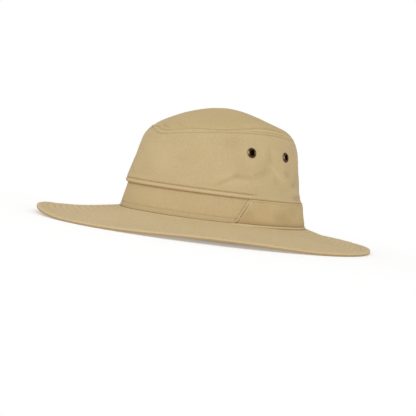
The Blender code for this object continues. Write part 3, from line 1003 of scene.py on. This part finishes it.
def sewing_thread(tree, ground):
    """Spun polyester thread: smooth fibres that catch more light than the cloth, with a fine twist."""
    space = add_node(tree, "ShaderNodeTexCoord", "Object")
    twist = add_node(tree, "ShaderNodeTexNoise", "Fac", {"Vector": space, "Scale": 900.0, "Detail": 1.0})
    deep, pale = (opaque(share * part for part in ground) for share in (0.78, 1.1))
    spun = add_node(tree, "ShaderNodeMix", 2, {0: twist, 6: deep, 7: pale}, data_type="RGBA")
    return {"Base Color": spun, "Roughness": 0.6, "Sheen Weight": 0.1}


def antique_brass(tree):
    """Stamped brass, chemically darkened: its patina lies in the hollows and wears off the edges. Painted
    glints of light lie at the flange's two sides, and where the tone is 0 the metal is near black, partly
    patina and partly painted shade.
    """
    colours = bpy.context.scene.hat_colours
    space = add_node(tree, "ShaderNodeTexCoord", "Object")
    # Patina clouds are about 3 mm across and rubbed scratches about 0.5 mm
    patina = add_node(tree, "ShaderNodeTexNoise", "Fac", {"Vector": space, "Scale": 330.0, "Detail": 4.0})
    rubbed_and_glint = add_node(tree, "ShaderNodeTexNoise", "Fac", {"Vector": space, "Scale": 2000.0, "Detail": 2.0})
    tone = add_node(tree, "ShaderNodeAttribute", "Fac", attribute_name="tone")
    spread = {"Value": patina, "From Min": 0.35, "From Max": 0.55, "To Min": 0.45}
    spread = add_node(tree, "ShaderNodeMapRange", "Result", spread)
    mixed = add_node(tree, "ShaderNodeMath", 0, {0: tone, 1: spread}, operation="MULTIPLY")
    aged_and_painted_light = {0: mixed, 6: opaque(colours.brass), 7: opaque(colours.rubbed_and_glint)}
    aged_and_painted_light = add_node(tree, "ShaderNodeMix", 2, aged_and_painted_light, data_type="RGBA")
    # Near black where the tone is 0, in the barrel, the hole's funnel and under the flange: partly patina in
    # the hollows, partly painted shade
    hollow_patina_and_shade = {"Value": tone, "From Min": 0.02, "From Max": 0.0}
    hollow_patina_and_shade = add_node(tree, "ShaderNodeMapRange", "Result", hollow_patina_and_shade)
    black = opaque(0.2 * part for part in colours.brass)
    aged_and_painted_light = add_node(tree, "ShaderNodeMix", 2, {0: hollow_patina_and_shade, 6: aged_and_painted_light, 7: black}, data_type="RGBA")
    rough = {"Value": patina, "From Min": 0.3, "From Max": 0.7, "To Min": 0.34, "To Max": 0.55}
    rough = add_node(tree, "ShaderNodeMapRange", "Result", rough)
    scratches = {"Height": rubbed_and_glint, "Distance": 0.02 * MM, "Strength": 0.5}
    scratches = add_node(tree, "ShaderNodeBump", "Normal", scratches)
    return {"Base Color": aged_and_painted_light, "Metallic": 1.0, "Roughness": rough, "Normal": scratches}


def opal_acrylic(tree):
    """Opal acrylic sheet of a light table: matt white, and lit from below so that shadows on it stay pale.
    It isn't lit under the crown, whose hollow stays dark."""
    white = opaque(bpy.context.scene.hat_colours.floor)
    space = add_node(tree, "ShaderNodeTexCoord", "Object")
    away = add_node(tree, "ShaderNodeVectorMath", "Value", {0: space}, operation="LENGTH")
    lit = {"Value": away, "From Min": FLOOR_DARK[0], "From Max": FLOOR_DARK[1], "To Max": FLOOR_GLOW}
    return {
        "Base Color": opaque(FLOOR_PALE * part for part in white[:3]),
        "Roughness": 1.0,
        "Specular IOR Level": 0.0,
        "Emission Color": white,
        "Emission Strength": add_node(tree, "ShaderNodeMapRange", "Result", lit),
    }


# Pieces


class SUNHAT_OT_wall(bpy.types.Operator):
    """Make the crown's side wall with its folds, tuck, seam ditch and eyelet holes"""

    bl_idname = "sun_hat.wall"
    bl_label = "Crown wall"

    def execute(self, context):
        angle = ring_angles()[:, None]
        level = climb_at(np.concatenate([WALL_STATIONS, TUCK_HEIGHT + LIP_STATIONS]), angle)
        upper = level[:, -1:] + (1 - level[:, -1:]) * np.linspace(0, 1, WALL_STEPS)[1:]
        row = seam_rows(angle)[0]
        near = SEAM_GAP + (row - SEAM_CLEAR) * np.array((0.66, 0.33, 0))
        top = SEAM - np.concatenate([row + WALL_ROW_STATIONS, near], axis=1) / seam_rate(angle)
        shoulder = 1 + (top[:, :1] - 1) * np.linspace(0, 1, SHOULDER_STEPS)[1:-1]
        outer = np.concatenate([level, upper, shoulder, top], axis=1)
        inner = np.concatenate([outer[:, ::-4], np.zeros_like(angle)], axis=1)
        face, tone = skin(wall_relief, outer, angle)
        above = wall_height(inner, angle) - TUCK_HEIGHT
        out = tuck(inner, angle, 1.0) + folds(inner, angle) - CROWN_CLOTH
        lining = moved_out(inner, angle, out + puffs(inner, angle) * ramp(above, TUCK_LIP, PUFF_START))
        lining[:, -1, 2] = face[:, 0, 2]
        grid = np.concatenate([face, lining], axis=1)
        climbs = np.concatenate([outer, inner], axis=1)
        climbs = np.concatenate([climbs, climbs[:1]]) * (TOP_HEIGHT - JOIN_HEIGHT)
        turns = np.append(ring_angles(), 2 * np.pi)[:, None] * BASE_RADIUS
        uv = np.stack([np.broadcast_to(turns, climbs.shape), climbs], axis=-1)
        tone = np.concatenate([tone, np.full(inner.shape, INSIDE_SHADE)], axis=1)
        finish = new_finish("wall_cotton_canvas", cotton_canvas, context.scene.hat_colours.wall)
        wall = closed_grid("crown_wall", grid, uv, finish, tone, joined=True)
        places = ((name, eyelet_frame(degrees)) for name, degrees in eyelet_places())
        cutters = [self.punch(wall, name, place, finish) for name, place in places]
        punched = wall.evaluated_get(context.evaluated_depsgraph_get())
        wall_mesh = bpy.data.meshes.new_from_object(punched)
        wall.modifiers.clear()
        wall.data = wall_mesh
        for cutter in cutters:
            bpy.data.objects.remove(cutter, do_unlink=True)
        dressed(wall, "crown_side")
        return {"FINISHED"}

    def punch(self, wall, name, place, finish):
        """Cuts a round hole for an eyelet's barrel, and gives the cutter."""
        turn = ring_angles(HOLE_SIDES)
        radius = EYELET_BARREL / 2 + GAP
        ring = np.stack([radius * np.cos(turn), radius * np.sin(turn), np.zeros_like(turn)], axis=-1)
        reach = np.array((0, 0, 4 * CROWN_CLOTH))
        grid = np.stack([ring - reach, ring + reach])
        cutter = closed_grid(name + "_punch", grid, grid[..., :2], finish, 0 * grid[..., 0], joined=False)
        cutter.data.transform(place)
        cut = wall.modifiers.new(name, "BOOLEAN")
        cut.operation = "DIFFERENCE"
        cut.solver = "EXACT"
        cut.object = cutter
        return cutter


class SUNHAT_OT_tip(bpy.types.Operator):
    """Make the domed tip of the crown, down to its seam"""

    bl_idname = "sun_hat.tip"
    bl_label = "Crown tip"

    def execute(self, context):
        angle = ring_angles()[:, None]
        row = seam_rows(angle)[1]
        near = SEAM_GAP + (row - SEAM_CLEAR) * np.array((0, 0.25, 0.5, 0.75))
        low = SEAM + np.concatenate([near, row + TIP_ROW_STATIONS], axis=1) / seam_rate(angle)
        rest = low[:, -1:] + (TIP_LAST - low[:, -1:]) * np.linspace(0, 1, TIP_STEPS)[1:]
        outer = np.concatenate([low, rest], axis=1)
        inner = outer[:, ::-3]
        face, tone = skin(tip_relief, outer, angle)
        under = moved_out(inner, angle, puffs(inner, angle) - CROWN_CLOTH)
        rows = np.concatenate([face[:, ::-1], under[:, ::-1]], axis=1).transpose(1, 0, 2)
        tones = np.concatenate([tone[:, ::-1], np.full(inner.shape, INSIDE_SHADE)], axis=1).T
        finish = new_finish("tip_cotton_canvas", cotton_canvas, context.scene.hat_colours.tip)
        tip = closed_grid("crown_tip_panel", rows, rows[..., :2], finish, tones, joined=False)
        dressed(tip, "crown_tip")
        return {"FINISHED"}


class SUNHAT_OT_brim(bpy.types.Operator):
    """Make the quilted brim with its rolled rim and its piped ridge beside the crown"""

    bl_idname = "sun_hat.brim"
    bl_label = "Brim"

    def execute(self, context):
        angle = ring_angles()[:, None]
        rows = (1 - brim_rows()) * BRIM_SPAN
        between = rows[:-1, None] + context.scene.hat_stitching.row_pitch * np.array((0.32, 0.5, 0.68))
        join = BRIM_SPAN - np.arange(0.3, 6.0, 0.3) * MM
        rows = rows[rows < join[-1] - 1 * MM, None] + GROOVE_STATIONS
        inset = np.sort(np.concatenate([EDGE_STATIONS, rows.ravel(), between.ravel(), join]))
        shares = np.append(1 - inset / BRIM_SPAN, 0.0)[None, :]
        upper, tone = brim_surface(shares, angle)
        collar = brim_point(np.full_like(angle, -CROWN_CLOTH / BRIM_SPAN), angle)
        collar[..., 2] = JOIN_HEIGHT - GAP
        rim = RIM_EDGE / BRIM_SPAN
        low_shares = np.sort(np.concatenate([shares[0, ::3], 1 - rim * np.array((1.0, 1.6))]))
        lower = brim_underside(low_shares[low_shares <= 1 - rim][None, :], angle)
        start = brim_surface(np.full_like(angle, 1 - rim), angle)[0]
        arc, arc_tone = self.rim(angle, start[..., 2])
        sections = [start, upper, collar, collar - (0, 0, BRIM_CLOTH), lower, arc]
        grid = np.concatenate(sections, axis=1)
        grid[..., 2] = np.maximum(grid[..., 2], 0)
        bare = np.zeros_like(angle)
        tones = [bare, tone, bare, bare, np.full(lower.shape[:2], UNDER_SHADE), arc_tone]
        tones = np.concatenate([np.broadcast_to(part, (STATIONS, part.shape[1])) for part in tones], axis=1)
        uv = np.concatenate([grid, grid[:1]])[..., :2]
        finish = new_finish("brim_cotton_canvas", cotton_canvas, context.scene.hat_colours.brim)
        brim = closed_grid("brim_panel", grid, uv, finish, tones, joined=True)
        dressed(brim, "brim")
        return {"FINISHED"}

    def rim(self, angle, high):
        """The folded edge from the underside up to the upper face, and its tone, a painted shade over its
        lower
        half: a half turn whose powers of a sine make it fuller below, with the notch of the fold's seam in
        its middle."""
        turn = np.linspace(np.pi, 0, RIM_STEPS)[None, 1:-1]
        low = rim_lift(angle) - rim_bend(0.0, angle)
        fullness = np.where(turn < np.pi / 2, *RIM_FULLNESS)
        inset = RIM_EDGE * (1 - np.sin(turn) ** fullness) + RIM_SEAM_DEPTH * bell(turn - 0.5 * np.pi, 0.2)
        arc = brim_point(1 - inset / BRIM_SPAN, angle)
        arc[..., 2] = (high + low) / 2 + (high - low) / 2 * np.cos(turn)
        return arc, RIM_SHADE * ramp(turn / np.pi, 0.4, 0.15)


class SUNHAT_OT_band(bpy.types.Operator):
    """Make the pocket band round the back of the crown, open at its slanted front ends"""

    bl_idname = "sun_hat.band"
    bl_label = "Pocket band"

    def execute(self, context):
        near = MOUTH_STATIONS / ((np.pi - band_end(0)) * BAND_RADIUS)
        middle = np.linspace(-1 + near[-1], 1 - near[-1], BAND_STEPS[0])[1:-1]
        runs = np.concatenate([-1 + near, middle, (1 - near)[::-1]])
        side, seam = SIDE_STATIONS / TUCK_HEIGHT, 1 - TOP_ROW_STATIONS / TUCK_HEIGHT
        middle = np.linspace(side[-1], seam[0], BAND_STEPS[1])[1:-1]
        rises = np.concatenate([side, middle, seam, 1 - side[::-1]])
        run, rise = np.meshgrid(runs, rises, indexing="ij")
        out, tone, lift, mouth = band_relief(run, rise)
        angle, height = band_place(run, rise)
        climb = climb_at(height, angle)
        level, end = np.minimum(rise, 1 - rise) * TUCK_HEIGHT, np.clip(mouth, 0, None)
        bare = 1 - np.minimum(np.minimum(end / EDGE_ROUND, level / HIDDEN_ROUND), 1)
        thick = BAND_CLOTH * (0.12 + 0.88 * np.sqrt(1 - bare**2))
        held = (out - lift) * ramp(np.minimum(level, end), 0, 3 * MM)
        outer = moved_out(climb, angle, GAP + lift + held + thick)
        inner = moved_out(climb, angle, GAP + lift + 0.7 * held)
        back = slice(None, None, -3)
        grid = np.concatenate([outer, inner[:, back]], axis=1)
        tones = np.concatenate([tone, np.full_like(tone[:, back], BAND_INSIDE_SHADE)], axis=1)
        flat = np.stack([angle * BASE_RADIUS, height], axis=-1)
        uv = np.concatenate([flat, flat[:, back]], axis=1)
        finish = new_finish("band_cotton_canvas", cotton_canvas, context.scene.hat_colours.band)
        band = closed_grid("pocket_band", grid, uv, finish, tones, joined=False)
        dressed(band, "side_band")
        return {"FINISHED"}


class SUNHAT_OT_stitches(bpy.types.Operator):
    """Sew the topstitching of the tip's seam, the tuck, the band and the brim, stitch by stitch"""

    bl_idname = "sun_hat.stitches"
    bl_label = "Stitches"

    def execute(self, context):
        sewing, colours = context.scene.hat_stitching, context.scene.hat_colours
        thread = new_finish("spun_thread", sewing_thread, colours.thread)
        tack = new_finish("tack_thread", sewing_thread, colours.worn_and_highlight)
        round_hat = np.linspace(0, 2 * np.pi, 3 * STATIONS + 1)
        below, above = seam_rows(round_hat)
        rate = seam_rate(round_hat)
        seams = [
            self.on_crown(relief, SEAM + offset / rate, round_hat, sewing)
            for offset, relief in ((-below, wall_relief), (above, tip_relief))
        ]
        stitching("seam_stitches", seams, thread)
        rows = []
        for height, limit in ((TUCK_HEIGHT + LIP_ROW, LIP_ROW_LIMIT), (HEM_ROW, HEM_ROW_LIMIT)):
            front = np.radians(np.linspace(-limit, limit, FRONT_PATH))
            rows.append(self.on_crown(wall_relief, climb_at(height, front), front, sewing))
        stitching("tuck_stitches", rows, thread)
        up = np.broadcast_to((0.0, 0.0, 1.0), (len(round_hat), 3))
        brim = [stitch_points(brim_surface(share, round_hat)[0], up, sewing) for share in brim_rows()]
        stitching("brim_stitches", brim, thread)
        under = [stitch_points(brim_underside(share, round_hat), -up, sewing) for share in brim_rows()]
        stitching("brim_under_stitches", under, thread)
        stitching("band_stitches", self.band_rows(sewing), thread)
        stitching("band_tacks", self.band_tacks(sewing), tack)
        return {"FINISHED"}

    def on_crown(self, relief, climb, angle, sewing):
        return stitch_points(skin(relief, climb, angle)[0], outward(crown_point, climb, angle), sewing)

    def on_band(self, run, rise, sewing, **lay):
        angle, height = band_place(run, rise)
        out = outward(crown_point, climb_at(height, angle), angle)
        return stitch_points(band_surface(run, rise), out, sewing, **lay)

    def beside_mouths(self, away, rise, sewing, **lay):
        """Stitches at a distance from each of the band's front edges."""
        share = 0.02
        _, _, _, mouth = band_relief(np.full_like(rise, 1 - share), rise)
        return [self.on_band(sign * (1 - share * away / mouth), rise, sewing, **lay) for sign in (-1, 1)]

    def band_rows(self, sewing):
        """Rows beside the band's top and its two front edges."""
        top = 1 - sewing.edge_row / TUCK_HEIGHT
        reach = (np.pi - band_end(1)) * BAND_RADIUS
        run = np.linspace(-1, 1, BAND_PATH) * (1 - sewing.edge_row / reach)
        along = self.on_band(run, np.full_like(run, top), sewing)
        rise = np.linspace(0.04, top, MOUTH_PATH)
        return [along, *self.beside_mouths(sewing.edge_row, rise, sewing)]

    def band_tacks(self, sewing):
        """Bar tacks at the band's front corners: two bars and a shorter one between their feet, and one more
        low at the mouth."""
        tacks = []
        for bar in BAND_TACKS:
            away = np.linspace(bar["start"], bar["end"], TACK_PATH)
            rise = np.linspace(bar["low"], bar["high"], TACK_PATH)
            tacks += self.beside_mouths(away, rise, sewing, across=1.0, pitch=0.5 * MM, long=1.2 * MM)
        return tacks


class SUNHAT_OT_eyelets(bpy.types.Operator):
    """Make the four rolled brass vent eyelets"""

    bl_idname = "sun_hat.eyelets"
    bl_label = "Vent eyelets"

    def execute(self, context):
        finish = new_finish("antique_brass", antique_brass)
        hole, barrel, washer = EYELET_HOLE / 2, EYELET_BARREL / 2, EYELET_WASHER / 2
        back = -CROWN_CLOTH - GAP
        face = EYELET_WIDTH / 2
        # Radius, height and how far the patina is rubbed off, round the section of the metal; the same share
        # scales the painted glints
        profile = np.array(
            [
                (hole + 0.2 * MM, back - EYELET_METAL, 0.2),
                (hole + 0.9 * MM, back - 1.3 * EYELET_METAL, 0.8),
                (washer * 0.9, back - EYELET_METAL, 0.5),
                (washer, back - 0.6 * EYELET_METAL, 0.5),
                (washer, back, 0.0),
                (barrel, back, 0.0),
                (barrel, GAP, 0.0),
                (face * 0.97, GAP, 0.0),
                (face, GAP + 0.25 * EYELET_METAL, 0.6),
                (face * 0.985, GAP + 0.6 * EYELET_METAL, 1.0),
                (face * 0.93, GAP + 0.95 * EYELET_METAL, 1.0),
                (face * 0.85, GAP + 1.25 * EYELET_METAL, 1.0),
                (face * 0.76, GAP + 1.38 * EYELET_METAL, 0.8),
                (face * 0.67, GAP + 1.30 * EYELET_METAL, 0.5),
                (face * 0.58, GAP + 1.05 * EYELET_METAL, 0.2),
                (face * 0.51, GAP + 0.60 * EYELET_METAL, 0.0),
                (face * 0.475, GAP, 0.0),
                (hole, GAP - 1.0 * EYELET_METAL, 0.0),
            ]
        )
        turn = ring_angles(EYELET_SIDES)[:, None]
        radius, height, rubbed_and_glint = profile.T
        level = np.broadcast_to(height, (EYELET_SIDES, len(profile)))
        grid = np.stack([radius * np.cos(turn), radius * np.sin(turn), level], axis=-1)
        # A faint rub all round, and painted glints of light at the flange's two sides, where the cosine's
        # power peaks
        tone = rubbed_and_glint * (0.06 + 0.48 * np.cos(turn) ** 14)
        uv = np.concatenate([grid, grid[:1]])[..., :2]
        for name, degrees in eyelet_places():
            eyelet = closed_grid(name + "_brass", grid, uv, finish, tone, joined=True)
            eyelet.data.transform(eyelet_frame(degrees))
            dressed(eyelet, name)
        return {"FINISHED"}


class SUNHAT_OT_stage(bpy.types.Operator):
    """Lay the studio floor and set the soft light and the camera"""

    bl_idname = "sun_hat.stage"
    bl_label = "Stage"

    def execute(self, context):
        self.floor()
        self.light(context)
        self.camera(context)
        return {"FINISHED"}

    def floor(self):
        """A flat sheet that reaches the horizon."""
        turn = ring_angles(FLOOR_SIDES)
        points = FLOOR_REACH * np.stack([np.cos(turn), np.sin(turn), np.zeros_like(turn)], axis=-1)
        mesh = bpy.data.meshes.new("studio_floor")
        mesh.from_pydata(points.tolist(), [], [list(range(len(points)))])
        mesh.materials.append(new_finish("opal_acrylic", opal_acrylic))
        floor = bpy.data.objects.new("studio_floor", mesh)
        bpy.context.collection.objects.link(floor)

    def light(self, context):
        """A white surround, dimmed high up on one side, and a soft lamp at the front."""
        world = bpy.data.worlds.new("studio_surround")
        world.use_nodes = True
        tree = world.node_tree
        tree.nodes.clear()
        way = add_node(tree, "ShaderNodeTexCoord", "Generated")
        height = add_node(tree, "ShaderNodeSeparateXYZ", "Z", {"Vector": way})
        fall = {"Value": height, "From Min": SURROUND_TOP_FROM}
        fall.update({"To Min": SURROUND_LEVEL, "To Max": SURROUND_TOP})
        level = add_node(tree, "ShaderNodeMapRange", "Result", fall)
        aside = {0: way, 1: tuple(compass(SURROUND_DIM_AT, 0))}
        aside = add_node(tree, "ShaderNodeVectorMath", "Value", aside, operation="DOT_PRODUCT")
        low, high = SURROUND_DIM_FROM
        least = {"Value": height, "From Min": low, "From Max": high, "To Min": 1.0, "To Max": SURROUND_DIM}
        least = add_node(tree, "ShaderNodeMapRange", "Result", least)
        dim = {"Value": aside, "From Min": SURROUND_DIM_SIDE, "To Min": 1.0, "To Max": least}
        dim = add_node(tree, "ShaderNodeMapRange", "Result", dim)
        level = add_node(tree, "ShaderNodeMath", 0, {0: level, 1: dim}, operation="MULTIPLY")
        white = {"Color": (1.0, 1.0, 1.0, 1.0), "Strength": level}
        glow = add_node(tree, "ShaderNodeBackground", "Background", white)
        add_node(tree, "ShaderNodeOutputWorld", None, {"Surface": glow})
        context.scene.world = world
        lamp = bpy.data.lights.new("front_lamp", "SUN")
        lamp.energy, lamp.angle = LAMP_ENERGY, np.radians(LAMP_SPREAD)
        made = bpy.data.objects.new("front_lamp", lamp)
        made.rotation_mode = "QUATERNION"
        made.rotation_quaternion = Vector(compass(LAMP_AZIMUTH, LAMP_ELEVATION)).to_track_quat("Z", "Y")
        context.collection.objects.link(made)
        context.scene.view_settings.view_transform = "Standard"

    def camera(self, context):
        """Stands at the photo's angle to the hat, turned a little about its own axis."""
        roll = np.radians(CAMERA_ROLL)
        back = compass(CAMERA_AZIMUTH, CAMERA_ELEVATION)
        right = compass(CAMERA_AZIMUTH + 90, 0)
        over = np.cross(back, right)
        across = np.cos(roll) * right + np.sin(roll) * over
        up = np.cos(roll) * over - np.sin(roll) * right
        centre = np.array(CAMERA_CENTRE)
        place = centre + back * CAMERA_DISTANCE
        back = unit(place - (centre + CAMERA_AIM[0] * across + CAMERA_AIM[1] * up))
        across = unit(np.cross(up, back))
        up = np.cross(back, across)
        data = bpy.data.cameras.new("camera")
        data.sensor_width = 36.0
        data.lens = data.sensor_width * CAMERA_DISTANCE / FRAME_WIDTH
        data.clip_start, data.clip_end = 0.05, 100.0
        camera = bpy.data.objects.new("camera", data)
        turn = Matrix(np.stack([across, up, back], axis=1).tolist()).to_4x4()
        camera.matrix_world = Matrix.Translation(Vector(place)) @ turn
        context.collection.objects.link(camera)
        context.scene.camera = camera


STEPS = ("wall", "tip", "brim", "band", "stitches", "eyelets", "stage")


class SUNHAT_PT_pieces(bpy.types.Panel):
    """Sizes, colours and pieces of the sun hat"""

    bl_idname = "SUNHAT_PT_pieces"
    bl_label = "Sun hat"
    bl_space_type = "VIEW_3D"
    bl_region_type = "UI"
    bl_category = "Sun hat"

    def draw(self, context):
        for group in (context.scene.hat_stitching, context.scene.hat_cloth, context.scene.hat_colours):
            box = self.layout.box()
            for name in group.__annotations__:
                box.prop(group, name)
        for step in STEPS:
            self.layout.operator("sun_hat." + step)


CLASSES = (
    SunHatStitching,
    SunHatCloth,
    SunHatColours,
    SUNHAT_OT_wall,
    SUNHAT_OT_tip,
    SUNHAT_OT_brim,
    SUNHAT_OT_band,
    SUNHAT_OT_stitches,
    SUNHAT_OT_eyelets,
    SUNHAT_OT_stage,
    SUNHAT_PT_pieces,
)


def register():
    for each in CLASSES:
        bpy.utils.register_class(each)
    bpy.types.Scene.hat_stitching = bpy.props.PointerProperty(type=SunHatStitching)
    bpy.types.Scene.hat_cloth = bpy.props.PointerProperty(type=SunHatCloth)
    bpy.types.Scene.hat_colours = bpy.props.PointerProperty(type=SunHatColours)


def unregister():
    del bpy.types.Scene.hat_colours, bpy.types.Scene.hat_cloth, bpy.types.Scene.hat_stitching
    for each in reversed(CLASSES):
        bpy.utils.unregister_class(each)


def main():
    register()
    for step in STEPS:
        getattr(bpy.ops.sun_hat, step)()


if __name__ == "__main__":
    main()
